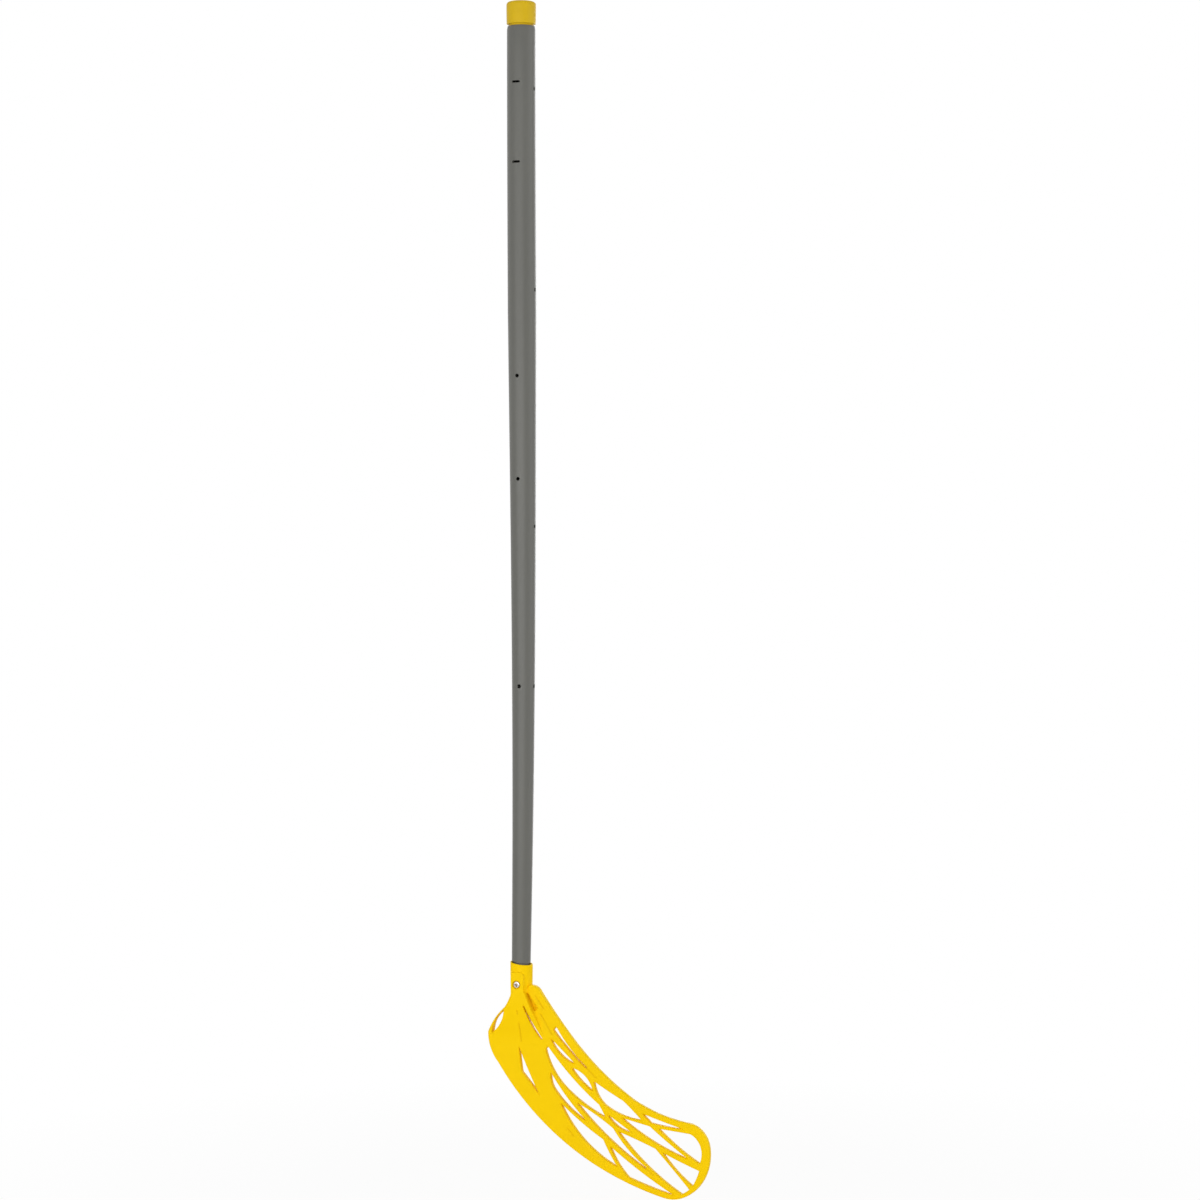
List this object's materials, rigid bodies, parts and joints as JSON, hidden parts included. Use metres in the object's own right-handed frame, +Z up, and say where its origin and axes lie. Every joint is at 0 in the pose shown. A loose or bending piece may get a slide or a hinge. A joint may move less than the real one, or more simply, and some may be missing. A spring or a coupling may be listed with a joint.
{
  "type": "floorball stick",
  "caption": "Floorball stick: a straight tube with a cylindrical grip that tapers to a hooked open-lattice blade, with a pull-off butt cap and screws that hold the blade's socket.",
  "frame": {"origin": "middle of the cylindrical grip, on the shaft's axis", "axes": "+Z up the shaft to the butt cap, +X towards the blade's toe, -Y out of the blade's front face, where the toe hooks forward"},
  "size_m": [0.2306, 0.0383, 1.128],
  "materials": {
    "shaft_plastic": "matt grey moulded plastic with a faint lighter strip",
    "cap_plastic": "satin ochre-yellow moulded plastic",
    "blade_plastic": "satin-gloss yellow moulded plastic",
    "screw_steel": "bright zinc-plated steel"
  },
  "bodies": {
    "stick": {"shaft": "shaft_plastic", "blade": "blade_plastic"},
    "end_cap": {"end_cap": "cap_plastic"},
    "front_screw": {"front_screw": "screw_steel"},
    "rear_screw": {"rear_screw": "screw_steel"}
  },
  "joints": [
    {"name": "cap_pull", "type": "slide", "parent": "stick", "child": "end_cap", "axis": [0, 0, 1], "range_m": [0, 0.038]},
    {"name": "front_screw_out", "type": "slide", "parent": "stick", "child": "front_screw", "axis": [0, -1, 0], "range_m": [0, 0.012]},
    {"name": "rear_screw_out", "type": "slide", "parent": "stick", "child": "rear_screw", "axis": [0, 1, 0], "range_m": [0, 0.012]}
  ]
}
